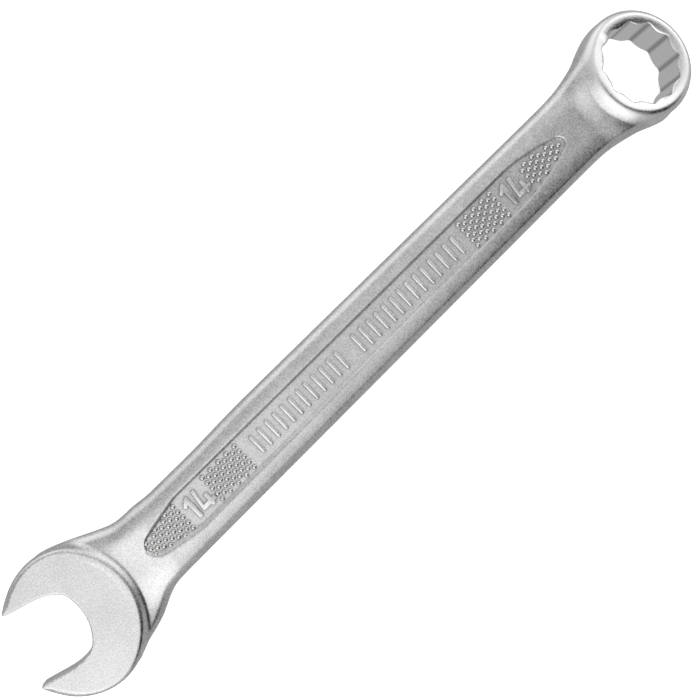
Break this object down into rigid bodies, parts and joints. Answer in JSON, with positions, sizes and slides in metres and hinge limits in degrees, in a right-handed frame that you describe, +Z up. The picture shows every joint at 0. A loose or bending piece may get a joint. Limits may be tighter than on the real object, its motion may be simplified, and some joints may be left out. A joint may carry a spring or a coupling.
{
  "type": "combination wrench",
  "caption": "Flat forged wrench with an angled open jaw at one end and a tilted ring socket at the other, joined by a shank with recessed, relief-textured panels.",
  "frame": {"origin": "middle of the bottom of the tool's box, on the bench it lies on", "axes": "+X along the tool from the open end to the ring, +Z up out of the front face; the shank itself is pitched 2.3 degrees, the way the tool lies on its jaw tips and ring rim"},
  "size_m": [0.1678, 0.0282, 0.0134],
  "materials": {
    "satin_chrome": "satin",
    "relief_chrome": "satin"
  },
  "bodies": {
    "root": {"open_end_head": "satin_chrome", "open_end_neck": "satin_chrome", "shank": "satin_chrome", "box_end_neck": "satin_chrome", "box_end_ring": "satin_chrome", "front_studs": "relief_chrome", "front_size_numbers": "relief_chrome", "front_ribs": "relief_chrome", "rear_studs": "relief_chrome", "rear_size_numbers": "relief_chrome", "rear_ribs": "relief_chrome"}
  },
  "joints": []
}
